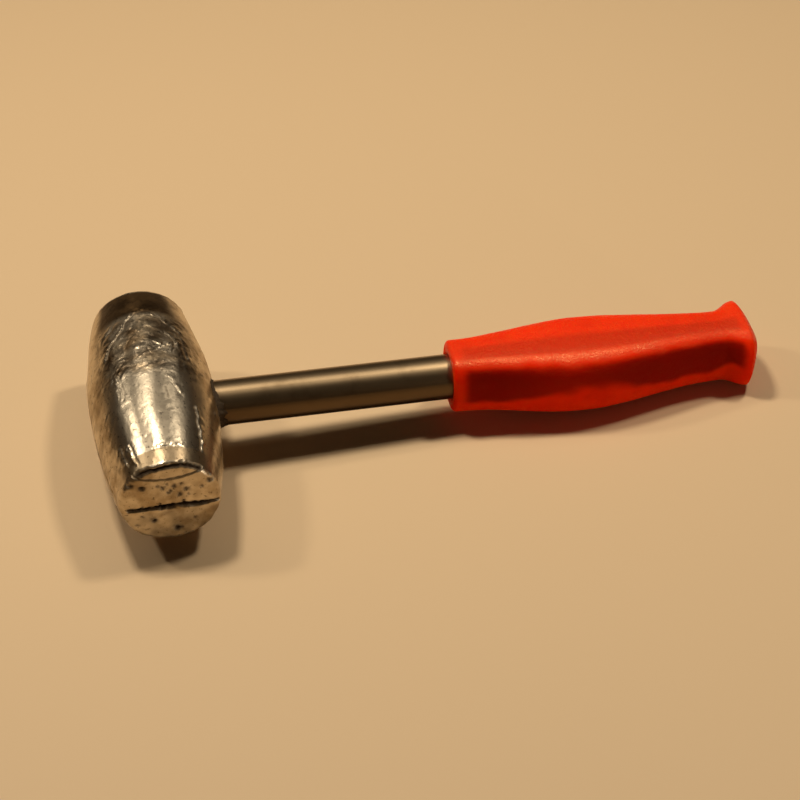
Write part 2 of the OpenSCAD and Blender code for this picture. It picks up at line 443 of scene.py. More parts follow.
# Each row: the path, its height, its low side and its run
FOLDS = {
    "outer arch": (OUTER_ARCH, 0.42, 1, 1.6),
    "second arch": ([(27, -13), (31, -8), (34, -1), (35, 7), (33, 12)], 0.34, 1, 1.2),
    "third arch": ([(8, -24), (12.5, -22), (17, -17), (19, -10), (22, -5)], 0.34, 1, 1.4),
    "small arch": ([(10, -12), (11, -6), (13, 1), (14, 6), (11, 10)], 0.32, 1, 1.2),
    "right branch": ([(21, 19), (18, 25), (14, 28), (10, 30), (5, 31)], 0.34, 1, 1.2),
    "right slant": ([(-5, 10), (-9, 14), (-13, 18), (-17, 22)], 0.30, 1, 1.4),
    "lower line": ([(-46.5, -12), (-47.5, -4), (-47, 6), (-47.2, 16)], 0.36, 1, 2.0),
    "right long line": ([(-24, 38), (-30, 39), (-37, 40), (-43, 41), (-49, 42)], 0.45, 1, 1.4),
    "left long line": ([(-41, -37), (-46, -36), (-51, -33)], 0.45, -1, 1.4),
    "left short line": ([(-2, -33), (-9, -32), (-16, -31)], 0.32, -1, 1.4),
    "left far line": ([(-39, -50), (-45, -48), (-49, -45)], 0.32, -1, 1.4),
}
folds = sum(fold(*row) for row in FOLDS.values())

# %% Short creases in the crumpled middle
CREASE_HEIGHTS = (0.10, 0.22)


def drawn_creases(seed, count):
    """Random bows of 3 points between the arches, each low on its near side."""
    draw = np.random.default_rng(seed)
    total = 0 * ALONG
    for _ in range(count):
        y, angle, lean = draw.uniform(-2, 31), draw.uniform(-32, 32), draw.uniform(-4, 4)
        reach = draw.uniform(3, 9)
        path = [(y - lean, angle - reach), (y + draw.uniform(0, 3), angle), (y + lean, angle + reach)]
        total = total + fold(path, draw.uniform(*CREASE_HEIGHTS), low_side=1, run=0.8)
    return total


folds = folds + drawn_creases(seed=61, count=18)

# %% Two lines of dirt
CROSS_LINE = [(-6, -16), (-6.5, -6), (-6, 5), (-5, 11)]
DARK_MARK = [(-15, 9), (-22, 10)]


def stain(path, width):
    """Broken line of dirt along a path: exp(-(d/w)^2), fading past its ends."""
    d, past = barrel_distance(path)
    return np.clip(0.4 + 0.6 * BREAKS, 0, 1) * bell(d, width) * bell(past, 0.8)


stains = np.maximum(0.7 * stain(CROSS_LINE, 0.40), 0.85 * stain(DARK_MARK, 0.8))

# %% Folds round the sides and the underside
ARCH_HEIGHTS = (0.12, 0.28)
ARCH_RUNS = (1, 3)


def drawn_arches(seed, count):
    """Random arches away from the top: shallow bows of 4 points, some along and some round the barrel."""
    draw = np.random.default_rng(seed)
    total = 0 * ALONG
    for _ in range(count):
        y, angle = draw.uniform(-44, 40), draw.uniform(62, 298)
        angle = angle - 360 if angle > 180 else angle
        reach_y, reach_a, bow = draw.uniform(4, 13), draw.uniform(5, 22), draw.uniform(-7, 7)
        path = [
            (y - reach_y, angle - reach_a), (y - 0.3 * reach_y, angle - 0.3 * reach_a + bow),
            (y + 0.3 * reach_y, angle + 0.3 * reach_a + bow), (y + reach_y, angle + reach_a),
        ]
        rise, side, run = draw.uniform(*ARCH_HEIGHTS), draw.choice((-1, 1)), draw.uniform(*ARCH_RUNS)
        total = total + fold(path, rise, side, run)
    return total


folds = folds + drawn_arches(seed=21, count=22)
print("folds stand", round(float(folds.max()), 2), "mm high and", round(float(-folds.min()), 2), "mm deep")

# %% [markdown]
# The broad unevenness of a hand-poured head bends the lamps' reflections. Inside the outer arch the
# barrel is crumpled like foil: the size of a wave, without its sign, has flat sides that meet in sharp
# valleys, as foil has. Dents from use lie nearly everywhere, fewest on the smooth far end.


# %% Unevenness, crumpled foil and dents
def dents(points, count, smallest, largest, depth, seed):
    """Round dimples at random places of the skin: depth times (1 - (d/r)^2)^2 inside each radius."""
    draw = np.random.default_rng(seed)
    flat = points.reshape(-1, 3)
    places = flat[draw.integers(0, len(flat), count)]
    radii = draw.uniform(smallest, largest, count)
    total = np.zeros(len(flat))
    for place, radius in zip(places, radii):
        d2 = ((flat - place) ** 2).sum(axis=1) / radius**2
        total += depth * radius / largest * np.clip(1 - d2, 0, 1) ** 2
    return total.reshape(points.shape[:-1])


ON_TOP = below(np.abs(ROUND), math.radians(62), math.radians(22))
CRUMPLED = above(ALONG, -9, 9) * below(ALONG, 35, 5) * (0.35 + 0.65 * ON_TOP)
SMOOTH_END = 1 - 0.85 * above(ALONG, 33, 5) * ON_TOP
STREAKED = below(ALONG, -3, 6) * ON_TOP

broad = 0.20 * waves(SKIN, 34, seed=2) + 0.07 * waves(SKIN * (1, 0.4, 1), 9, seed=3)
crumple = 0.26 * np.abs(waves(SKIN, 7.0, seed=4)) + 0.07 * np.abs(waves(SKIN, 3.0, seed=5))
crumple = crumple * (0.22 + 0.78 * CRUMPLED - 0.12 * STREAKED)
ripple = 0.020 * waves(SKIN, 2.2, seed=6) * (1 - 0.5 * STREAKED)
dimples = dents(SKIN, count=130, smallest=1.0, largest=3.4, depth=0.20, seed=7)
print("dents up to", round(float(dimples.max()), 2), "mm deep")

# %% [markdown]
# Each striking face has a crack along the mould's parting line, pits where gas was trapped, and a burr
# round the rim. The near one has a lip of lead too, which was hammered over its top edge.


# %% The marks on the near face
FACE_X = RADIUS * np.sin(ROUND)
FACE_Z = RADIUS * np.cos(ROUND)
# 1 on the near face and on the far one, and how ragged the cuts in them are, in millimetres
FACE_FROM = HALF_LENGTH - 2.6
NEAR = above(-ALONG, FACE_FROM, 0.6)
FAR = above(ALONG, FACE_FROM, 0.6)
JITTER = waves(SKIN, 1.8, seed=31) * 0.28
JITTER_UP = waves(SKIN, 2.2, seed=32) * 0.30
FINE_JITTER = waves(SKIN, 1.1, seed=30) * 0.22

CRACK = [
    (-16.6, -2.1), (-14, -2.1), (-10.2, -2.2), (-3.9, -2.0),
    (0.1, -2.0), (4.4, -1.6), (11.5, -2.4), (19.2, -1.4),
]
LIP = [(-12.5, 15.6), (-8.4, 17.6), (-5.0, 18.2), (-1.0, 19.0), (4.5, 19.2), (8.5, 18.0), (12.5, 15.8)]
LIP_FOOT = [(-14.5, 15.2), (-9.5, 13.4), (-4.8, 12.6), (0.2, 12.5), (5.0, 13.0), (9.3, 14.2), (13.0, 15.6)]
SPURS = ([(-4.6, -1.9), (-4.2, -0.3)], [(5.2, -1.5), (5.0, 0.2)], [(-12.5, -2.2), (-11.2, -0.9)])
# Each pit: x, z and radius
PITS = [
    (-15.0, 10.8, 0.9), (-10.8, 9.2, 1.0), (-4.6, 9.2, 0.7), (-2.7, 8.2, 0.8), (-1.2, 9.8, 0.6),
    (-0.1, 6.0, 0.8), (1.6, 8.6, 0.7), (3.8, 3.8, 0.8), (4.4, 9.6, 0.6), (6.6, 6.4, 0.8),
    (7.4, 3.4, 0.5), (15.8, 9.6, 0.9), (-6.7, -8.7, 0.9), (2.6, -14.1, 1.2), (-11.5, -6.0, 0.5),
    (9.5, -9.5, 0.6), (12.5, 6.5, 0.6), (-13.5, -10.5, 0.6),
]
PIT_STRETCH = 1.3


def groove(path, width, depth, sharp=2.0, ragged=1.0):
    """A cut along a line on the face: depth times exp(-(d/w)^sharp), the line made ragged."""
    d, _ = line_distance(FACE_X + ragged * JITTER, FACE_Z + ragged * JITTER_UP, path)
    return depth * np.exp(-((np.abs(d) / width) ** sharp))


crack_width = 0.68 * (1.1 - 0.55 * np.clip(np.abs(FACE_X) / 18, 0, 1) ** 3)
crack_width = crack_width * (1 + 0.3 * waves(SKIN, 8, seed=63))
crack = groove(CRACK, crack_width, 1.7) * (0.75 + 0.45 * waves(SKIN, 6, seed=33))
for spur in SPURS:
    crack = np.maximum(crack, groove(spur, 0.45, 1.0))
lip = groove(LIP, 0.6, 1.1)
lip_shade = groove([(x, z - 0.3) for x, z in LIP], 0.95, 1.0, sharp=4.0, ragged=0.7)
lip_foot = groove(LIP_FOOT, 0.40, 0.5, ragged=0.35)
pits = 0 * ALONG
for pit_x, pit_z, pit_r in PITS:
    across = (FACE_X + JITTER + FINE_JITTER - pit_x) / PIT_STRETCH
    pit_d = np.hypot(across, FACE_Z + JITTER_UP - FINE_JITTER - pit_z) / pit_r
    pits = np.maximum(pits, 0.75 * pit_r * bell(pit_d, 1))
near_cuts = NEAR * (np.maximum(crack, np.maximum(lip, lip_foot)) + pits)

# %% The far face and the parting line along the barrel
FAR_CRACK = [(-18.0, 0.8), (-12, 0.2), (-5, -0.5), (1, 0.3), (7, -0.2), (13, 0.5), (18.5, -0.6)]
far_cuts = FAR * np.maximum(groove(FAR_CRACK, 0.6, 0.9) * (0.7 + 0.4 * waves(SKIN, 5, seed=34)), 0)
far_pits = FAR * dents(SKIN, count=260, smallest=0.6, largest=1.4, depth=0.7, seed=35)

parting = 0 * ALONG
for side in (-1, 1):
    across = (ROUND - side * math.pi / 2) * MEAN_R + 0.6 * waves(SKIN, 9, seed=36) + JITTER
    parting = parting + 0.28 * bell(across, 0.4) * np.clip(0.5 + waves(SKIN, 12, seed=37), 0, 1)
    parting = parting - 0.30 * bell(across - 0.8, 0.35) * np.clip(0.4 + waves(SKIN, 8, seed=38), 0, 1)
parting = parting * ON_BARREL

rim = bell(HALF_LENGTH - np.abs(ALONG) - 1.2, 1.4) * (RADIUS > EDGE_X - 0.5)
burr = 0.22 * rim * waves(SKIN, 5.0, seed=39) * (1 - 0.7 * (ALONG > 0) * ON_TOP)
print("near face cuts to", round(float(near_cuts.max()), 2), "mm")

# %% The casting's height field and its skin
POLE_R = 2.0

height = (
    SMOOTH_END * (broad + crumple - 0.6 * dimples) + ripple + folds + parting + burr
    - near_cuts - far_cuts - far_pits - LEAD_INSET
)
at_pole = (RADIUS < POLE_R) & (np.abs(ALONG) > HALF_LENGTH - 0.01)
share = ease(RADIUS / POLE_R)
height = np.where(at_pole, height * share - LEAD_INSET * (1 - share), height)
lead_points = SKIN + height[..., None] * NORMAL
poles = np.array([[0.0, -HALF_LENGTH + LEAD_INSET, 0.0], [0.0, HALF_LENGTH - LEAD_INSET, 0.0]])
lead_skin = np.concatenate([lead_points.reshape(-1, 3), poles])
lead_quads, lead_fans = closed_grid(lead_skin, LEAD_ROWS, LEAD_COLUMNS)
print("height from", round(float(height.min()), 2), "to", round(float(height.max()), 2), "mm")

# %% [markdown]
# Where the tube enters, lead crept a little way up it: a thin ragged film, longest on the near and
# lower side, with a roll where it leaves the barrel. It is part of the same casting, so it goes into the
# same mesh as a closed ring whose inner side is sunk in the tube's wall and the barrel.


# %% The ragged film of lead round the tube
FILM_ROWS, FILM_COLUMNS = 16, 120
FILM_SIDE = math.radians(200)
FILM_THICKNESS = 0.28
FILM_ROUGHNESS = 0.22
SUNK_IN_BARREL = 0.35
SUNK_IN_TUBE = 0.4


def barrel_x(y, z):
    """The barrel's surface towards the handle: x = sqrt(R(y)^2 - z^2), R from the long arc."""
    r = ARC_CENTRE + np.sqrt(ARC_R**2 - y**2)
    return np.sqrt(np.maximum(r**2 - z**2, 0))


def film_ring():
    """Closed sections round the tube: up the outside from the barrel to the film's edge, then back inside."""
    a = np.linspace(0, 2 * np.pi, FILM_COLUMNS, endpoint=False)
    probe = np.stack([20 * np.cos(a), 20 * np.sin(a), 0 * a], axis=-1)
    near = (0.5 + 0.5 * np.cos(a - FILM_SIDE)) ** 2
    reach = 0.6 + 2.4 * near + near * waves(probe, 4.0, seed=41) + 0.3 * waves(probe, 2.0, seed=42)
    reach = np.clip(reach, 0.2, 4.5)
    spread = np.clip(1.2 + 1.6 * near + 0.6 * waves(probe, 5.0, seed=43), 0.8, 4.0)
    up = np.linspace(0, 1, FILM_ROWS)[:, None]
    r = TUBE_R + FILM_THICKNESS + spread * (1 - up) ** 1.7
    x = barrel_x(r * np.cos(a), r * np.sin(a)) - SUNK_IN_BARREL + (reach + SUNK_IN_BARREL) * up**1.4
    rough = waves(np.stack([x, r * np.cos(a), r * np.sin(a)], axis=-1), 2.4, seed=44)
    r = r + FILM_ROUGHNESS * rough * np.sin(np.pi * up) + 0.12 * np.abs(rough)
    root = barrel_x(TUBE_R * np.cos(a), TUBE_R * np.sin(a)) - 2.5
    sunk = TUBE_R - SUNK_IN_TUBE + 0 * a
    x = np.concatenate([x, [x[-1] - 0.05, (x[-1] + root) / 2, root, root]])
    r = np.concatenate([r, [sunk, sunk, sunk, sunk + SUNK_IN_TUBE + 0.6 * spread]])
    return np.stack([x, r * np.cos(a), r * np.sin(a)], axis=-1)


film = film_ring().reshape(-1, 3)
film_quads = grid_faces(len(film) // FILM_COLUMNS, FILM_COLUMNS, wrap_rows=True)
film_quads, _ = outward(film, film_quads, np.zeros((0, 3), int))
print("film reaches x", round(float(film[:, 0].max()), 1), "mm")

# %% One casting from the two skins
cast_points = to_table(np.concatenate([lead_skin, film]))
low, high = (np.array(corner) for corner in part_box("lead_head"))
cast_points[: len(lead_skin)] = np.clip(cast_points[: len(lead_skin)], low, high)
casting = build_mesh(
    "lead_casting", cast_points, np.concatenate([lead_quads, film_quads + len(lead_skin)]), lead_fans
)

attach(casting, "root")
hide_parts("lead_head")
print("casting:", len(casting.data.vertices), "points,", len(casting.data.polygons), "faces")

# %% [markdown]
# Four masks go with the mesh. The first is dirt in the cuts, pits and two stained lines, and painted
# shade under the near face's lip, in the troughs beside the folds and over the near face below the crack.
# Worn is metal that is kept bright.
# Foil is how deep the finest crumples are. Patina is the brown skin of old lead: thick on the smooth top
# of the far end, patchy between the arches, and thin on the near face and down the flanks.

# %% The casting's masks
# Painted shade: the near face is darkened below the crack and in a band under the lip, and the troughs beside
# the folds are darkened, all with the same near-black as the dirt
lower_face_shade = below(FACE_Z, -2.6, 3) * (0.6 + 0.4 * waves(SKIN, 7.0, seed=62))
face_dirt_and_shade = np.maximum(crack / 1.1, np.maximum(lip_shade, 0.7 * lip_foot / 0.5))
face_dirt_and_shade = face_dirt_and_shade + 1.3 * pits + 0.22 * lower_face_shade
troughs = np.clip(-(folds + parting) / 0.3, 0, 1)
dirt_and_shade = np.clip(NEAR * face_dirt_and_shade + 0.7 * (far_cuts + far_pits) + 0.8 * troughs + stains, 0, 1)

BELOW_LINE = below(ALONG, -47.2, 1) * ON_TOP
crests = np.clip((folds + parting) / 0.25, 0, 1)
worn = 0.7 * crests + STREAKED * (1 - NEAR) * (1 - BELOW_LINE) + 0.15 * CRUMPLED
worn = np.clip(worn, 0, 1) - 0.9 * BELOW_LINE * (1 - NEAR)

FAR_TOP = below(np.abs(ROUND + math.radians(8)), math.radians(50), math.radians(14))
FAR_SKIN = above(ALONG, 32, 6) * FAR_TOP * (1 - FAR)
FLANK = above(np.abs(ROUND), math.radians(46), math.radians(14)) * (1 - NEAR) * (1 - FAR)
FLANK = FLANK * (1 - 0.8 * above(ALONG, -2, 14))
foil = 0.25 + 0.75 * CRUMPLED - 0.1 * STREAKED + 0.4 * FLANK + 0.25 * NEAR
foil = np.clip(foil, 0, 1) * (1 - 0.85 * FAR_SKIN)
patina = FAR_SKIN + 0.70 * CRUMPLED * ON_TOP * (0.8 + 0.5 * waves(SKIN, 8, seed=64)) * (1 - FAR)
patina = patina + 0.25 * BELOW_LINE * (1 - NEAR) + NEAR * (0.22 + 0.12 * waves(SKIN, 4, seed=66))
patina = np.clip(patina + FLANK * (0.18 + 0.22 * waves(SKIN, 5, seed=65)), 0, 1)

# Each row: the mask's name, its values on the skin and its one value on the film
LEAD_MASKS = (("dirt_and_shade", dirt_and_shade, 0.9), ("worn", worn, 0.0), ("foil", foil, 1.0), ("patina", patina, 0.6))
for label, on_skin, on_film in LEAD_MASKS:
    save_mask(casting, label, np.concatenate([on_skin.ravel(), [0, 0], np.full(len(film), on_film)]))
print("masks:", [row[0] for row in LEAD_MASKS])

# %% [markdown]
# ## Finishes
#
# Mottled patches and fine grain are on the lead, the steel and the vinyl alike, each at its own scale, so
# they are node groups with named inputs. What makes each surface metal or plastic stays in its material.


# %% Helpers for node trees
def node(tree, kind, **settings):
    """A node of that kind; a setting is a property of the node, or one of its inputs by name."""
    made = tree.nodes.new(kind)
    for key, value in settings.items():
        if hasattr(made, key):
            setattr(made, key, value)
        else:
            made.inputs[key.replace("_", " ")].default_value = value
    return made


def effect(name, inputs, outputs):
    """An empty node group and its two end nodes. Inputs are names with first values, a vector where there
    is none, and outputs are names with their kinds."""
    tree = bpy.data.node_groups.new(name, "ShaderNodeTree")
    for label, value in inputs.items():
        kind = "NodeSocketVector" if value is None else "NodeSocketFloat"
        socket = tree.interface.new_socket(label, in_out="INPUT", socket_type=kind)
        if value is not None:
            socket.default_value = value
    for label, kind in outputs.items():
        tree.interface.new_socket(label, in_out="OUTPUT", socket_type="NodeSocket" + kind)
    return tree, tree.nodes.new("NodeGroupInput"), tree.nodes.new("NodeGroupOutput")


def math_node(tree, operation, first, second=None, third=None, clamp=False):
    """A Math node fed by sockets or numbers; MULTIPLY_ADD gives first times second plus third."""
    made = tree.nodes.new("ShaderNodeMath")
    made.operation = operation
    made.use_clamp = clamp
    for socket, value in zip(made.inputs, (first, second, third)):
        if isinstance(value, (int, float)):
            socket.default_value = value
        elif value is not None:
            tree.links.new(value, socket)
    return made.outputs[0]


def mix_colour(tree, factor, a, b):
    """A colour between a and b; each may be a socket or a plain colour."""
    made = tree.nodes.new("ShaderNodeMix")
    made.data_type = "RGBA"
    for socket, value in ((made.inputs[0], factor), (made.inputs[6], a), (made.inputs[7], b)):
        if isinstance(value, bpy.types.NodeSocket):
            tree.links.new(value, socket)
        else:
            socket.default_value = value
    return made.outputs[2]


def ramp(tree, value, low, high):
    """Value mapped from low..high to 0..1 with smooth ends, and held inside it."""
    made = node(tree, "ShaderNodeMapRange", interpolation_type="SMOOTHSTEP", From_Min=low, From_Max=high)
    tree.links.new(value, made.inputs["Value"])
    return made.outputs["Result"]


def noise_in(tree, ends_in, scale_name, detail, roughness):
    """Noise in an effect, at the effect's own vector and one of its scales."""
    noise = node(tree, "ShaderNodeTexNoise", Detail=detail, Roughness=roughness)
    tree.links.new(ends_in.outputs["Vector"], noise.inputs["Vector"])
    tree.links.new(ends_in.outputs[scale_name], noise.inputs["Scale"])
    return noise.outputs["Fac"]


def bump_in(tree, ends_in, ends_out, height):
    """A bump from a height, at the effect's own strength and depth, which gives the effect its normal."""
    bump = node(tree, "ShaderNodeBump")
    tree.links.new(height, bump.inputs["Height"])
    tree.links.new(ends_in.outputs["Strength"], bump.inputs["Strength"])
    tree.links.new(ends_in.outputs["Depth"], bump.inputs["Distance"])
    tree.links.new(bump.outputs["Normal"], ends_out.inputs["Normal"])
    return bump


# %% Mottle: two scales of noise for uneven colour and gloss
mottle, ends_in, ends_out = effect(
    "mottle", {"Vector": None, "Scale": 100.0, "Fine Scale": 600.0}, {"Broad": "Float", "Fine": "Float"}
)
for scale_name, out_name, detail in (("Scale", "Broad", 4.0), ("Fine Scale", "Fine", 3.0)):
    mottle.links.new(noise_in(mottle, ends_in, scale_name, detail, 0.6), ends_out.inputs[out_name])

# %% Relief: fine bumps as one normal
relief, ends_in, ends_out = effect(
    "relief", {"Vector": None, "Scale": 800.0, "Strength": 0.3, "Depth": 0.0001}, {"Normal": "Vector"}
)
bump_in(relief, ends_in, ends_out, noise_in(relief, ends_in, "Scale", 4.0, 0.62))

# %% Foil: crumpled facets between sharp valleys, on top of another normal
foil_bumps, ends_in, ends_out = effect(
    "foil_bumps",
    {"Vector": None, "Normal": None, "Scale": 230.0, "Strength": 1.0, "Depth": 0.0005},
    {"Normal": "Vector"},
)
noise = noise_in(foil_bumps, ends_in, "Scale", 2.0, 0.55)
valleys = math_node(foil_bumps, "ABSOLUTE", math_node(foil_bumps, "SUBTRACT", noise, 0.5))
bump = bump_in(foil_bumps, ends_in, ends_out, valleys)
foil_bumps.links.new(ends_in.outputs["Normal"], bump.inputs["Normal"])
print("shared effects:", mottle.name, relief.name, foil_bumps.name)


# %% A new finish, and an effect in it
def new_finish(name):
    """A material with its tree, its Principled shader and Object coordinates."""
    finish = bpy.data.materials.new(name)
    finish.use_nodes = True
    tree = finish.node_tree
    place = tree.nodes.new("ShaderNodeTexCoord").outputs["Object"]
    return finish, tree, tree.nodes["Principled BSDF"], place


def feed(tree, shader, sockets):
    """Link each value to the shader's input of that name."""
    for label, value in sockets.items():
        tree.links.new(value, shader.inputs[label])


def use_effect(tree, group, place, **values):
    """One of the shared effects in a material, with its own values."""
    made = tree.nodes.new("ShaderNodeGroup")
    made.node_tree = group
    tree.links.new(place, made.inputs["Vector"])
    for label, value in values.items():
        made.inputs[label.replace("_", " ")].default_value = value
    return made


# %% [markdown]
# Cast lead is bright where hands wear it or where it was freshly folded, and dull where it has oxidised.
# Dirt gathers in the crack and the pits. Shade is painted dark under the near face's lip, in the troughs
# beside the folds and over the near face below the crack. The masks saved with the mesh say where, and the
# mottle makes them uneven. The mould was bored on a lathe, and its turning rings are cast into the skin:
# they draw each lamp out into a streak along the barrel, which is a gloss that differs along and round it.

# %% The finish of the lead
LEAD_BRIGHT = (0.68, 0.565, 0.405, 1.0)
LEAD_DULL = (0.44, 0.33, 0.20, 1.0)
LEAD_PATINA = (0.105, 0.060, 0.025, 1.0)
# Near-black for dirt, and for the painted shade under the lip, beside the folds and low on the near face
LEAD_DIRT_AND_SHADE = (0.030, 0.018, 0.010, 1.0)
LEAD_ROUGHNESS = 0.30
DULL_ROUGHER = 0.12
DIRT_AND_SHADE_ROUGHER = 0.5
SPECK_DIRT = 0.55
STREAKINESS = 0.62
QUARTER_TURN = 0.25


def saved(tree, name):
    """The value of a mask that was saved with the mesh."""
    return node(tree, "ShaderNodeAttribute", attribute_name=name).outputs["Fac"]


lead_finish, tree, shader, place = new_finish("cast_lead")
patches = use_effect(tree, mottle, place, Scale=90.0, Fine_Scale=620.0)
grain = use_effect(tree, relief, place, Scale=900.0, Strength=0.30, Depth=0.00016)
foil_relief = use_effect(tree, foil_bumps, place, Scale=260.0, Depth=0.00032)
tree.links.new(saved(tree, "foil"), foil_relief.inputs["Strength"])
tree.links.new(grain.outputs["Normal"], foil_relief.inputs["Normal"])
dirt_and_shade_mask = saved(tree, "dirt_and_shade")
dullness = ramp(tree, patches.outputs["Broad"], 0.40, 0.66)
specks = ramp(tree, patches.outputs["Fine"], 0.59, 0.67)
dull = math_node(tree, "SUBTRACT", dullness, saved(tree, "worn"), clamp=True)
lead_colour = mix_colour(tree, dull, LEAD_BRIGHT, LEAD_DULL)
lead_colour = mix_colour(tree, saved(tree, "patina"), lead_colour, LEAD_PATINA)
# The first saved mask brings dirt and painted shade, the fine specks only dirt
dirt = math_node(tree, "MAXIMUM", dirt_and_shade_mask, math_node(tree, "MULTIPLY", specks, SPECK_DIRT))
lead_colour = mix_colour(tree, dirt, lead_colour, LEAD_DIRT_AND_SHADE)
rough = math_node(tree, "MULTIPLY_ADD", dull, DULL_ROUGHER, LEAD_ROUGHNESS)
rough = math_node(tree, "MULTIPLY_ADD", dirt_and_shade_mask, DIRT_AND_SHADE_ROUGHER, rough)
metal = math_node(tree, "SUBTRACT", 1.0, dirt_and_shade_mask, clamp=True)
feed(tree, shader, {"Base Color": lead_colour, "Roughness": rough, "Metallic": metal})
shader.inputs["Specular IOR Level"].default_value = 0.0
rings = node(tree, "ShaderNodeTangent", direction_type="RADIAL", axis="Y")
feed(tree, shader, {"Normal": foil_relief.outputs["Normal"], "Tangent": rings.outputs["Tangent"]})
shader.inputs["Anisotropic"].default_value = STREAKINESS
shader.inputs["Anisotropic Rotation"].default_value = QUARTER_TURN
casting.data.materials.append(lead_finish)
print("lead finish has", len(tree.nodes), "nodes")

# %% [markdown]
# ## The steel tube and the cup
#
# The tube is plain drawn steel, so the imported node keeps its shape and gets a satin finish with fine
# lines drawn along it. A straight line on a tilted tube needs the tube's own axis, so a Mapping node
# undoes the lying pose first: it shifts and turns Object coordinates back and stretches them along the
# tube. The cup is stamped from steel too, and hidden in the tube. The lower half of each is painted a
# darker brown, which is painted shade.


# %% The finish of the drawn steel
TUBE_STEEL = (0.34, 0.236, 0.130, 1)
TUBE_STAIN = (0.23, 0.153, 0.080, 1)
CUP_STEEL = (0.52, 0.50, 0.47, 1)
CUP_STAIN = (0.40, 0.37, 0.33, 1)
# Painted shade: below these heights the colour darkens to this brown, so the lower half is darker
LOWER_SHADE_STEEL = (0.075, 0.046, 0.023, 1)
LOWER_SHADE_FROM, LOWER_SHADE_TO = 0.65 * TUBE_R / 1000, 0.25 * TUBE_R / 1000
LOWER_SHADE_AMOUNT = 0.85
DRAW_LINES = 0.10


def drawn_steel(name, clean, spotted, roughness, stretch):
    """Satin steel with draw lines: noise stretched along the tube changes its roughness and height."""
    finish, tree, shader, place = new_finish(name)
    turn = node(tree, "ShaderNodeMapping", vector_type="TEXTURE")
    turn.inputs["Location"].default_value = (-MIDDLE_X / 1000, 0.0, HEAD_R / 1000)
    turn.inputs["Rotation"].default_value = (0.0, REST_DIP, 0.0)
    turn.inputs["Scale"].default_value = stretch
    tree.links.new(place, turn.inputs["Vector"])
    lines = use_effect(tree, mottle, turn.outputs["Vector"], Scale=300.0, Fine_Scale=1800.0)
    patches = use_effect(tree, mottle, place, Scale=60.0, Fine_Scale=900.0)
    grain = use_effect(tree, relief, turn.outputs["Vector"], Scale=1500.0, Strength=0.10, Depth=0.00004)
    spots = ramp(tree, patches.outputs["Broad"], 0.50, 0.75)
    parts = node(tree, "ShaderNodeSeparateXYZ")
    tree.links.new(turn.outputs["Vector"], parts.inputs["Vector"])
    # Painted shade: the colour darkens towards the bottom of the tube
    lower_shade = math_node(tree, "MULTIPLY", ramp(tree, parts.outputs["Z"], LOWER_SHADE_FROM, LOWER_SHADE_TO), LOWER_SHADE_AMOUNT)
    colour = mix_colour(tree, lower_shade, mix_colour(tree, spots, clean, spotted), LOWER_SHADE_STEEL)
    rough = math_node(tree, "MULTIPLY_ADD", lines.outputs["Broad"], DRAW_LINES, roughness - DRAW_LINES / 2)
    feed(tree, shader, {"Base Color": colour, "Roughness": rough, "Normal": grain.outputs["Normal"]})
    shader.inputs["Metallic"].default_value = 1.0
    return finish


tube_finish = drawn_steel("drawn_tube_steel", TUBE_STEEL, TUBE_STAIN, roughness=0.33, stretch=(25, 1, 1))
cup_finish = drawn_steel("stamped_cup_steel", CUP_STEEL, CUP_STAIN, roughness=0.36, stretch=(1, 1, 1))
for name, finish in (("handle_tube", tube_finish), ("pour_stop", cup_finish)):
    for material_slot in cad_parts[name].material_slots:
        material_slot.material = finish
    print(name, "has", finish.name)

# %% [markdown]
# ## The vinyl grip
#
# The grip is one soft moulded sleeve with a rounded-square section. It swells for the palm, draws in to
# a waist and flares into a heel that keeps the hand from sliding off. It could be carved from a bevelled
# box, but its width and thickness change on their own, so it is a stack of sections, each a
# superellipse. The skin starts deep in the bore, comes out over the rounded front lip, runs along the
# body and closes over the heel.

# %% The grip's sizes
SQUARENESS = 3.2
LIP_WIDTH, LIP_THICKNESS, LIP_R = 25.0, 28.0, 2.0
SWELL_WIDTH, SWELL_THICKNESS, SWELL_LEAN, SWELL_AT = 38.8, 32.0, 2.8, 56.5
WAIST_WIDTH, WAIST_THICKNESS = 25.0, 27.4
HEEL_WIDTH, HEEL_THICKNESS = 36.0, 29.6
FLARE_LENGTH, CROWN_LENGTH, CROWN_FULLNESS = 10.5, 7.5, 1.3
HEEL_AT = GRIP_LENGTH - CROWN_LENGTH
WAIST_AT = HEEL_AT - FLARE_LENGTH
BORE_R = TUBE_R + PUSH_FIT
MOUTH_BEVEL = 0.7
GRIP_COLUMNS = 192
BORE_ROWS, BODY_ROWS, FLARE_ROWS = 40, 110, 26
POLE_STEP = 0.02


def swept(u, lip, swell, waist, heel):
    """A size along the grip: cosine-eased from lip to swell, to waist, to heel."""
    knots = (0.0, SWELL_AT, WAIST_AT, HEEL_AT)
    values = (lip, swell, waist, heel)
    out = np.full(np.shape(u), float(heel))
    for k in range(3):
        t = np.clip((u - knots[k]) / (knots[k + 1] - knots[k]), 0, 1)
        run = values[k] + (values[k + 1] - values[k]) * (1 - np.cos(np.pi * t)) / 2
        out = np.where((u >= knots[k]) & (u < knots[k + 1]), run, out)
    return out


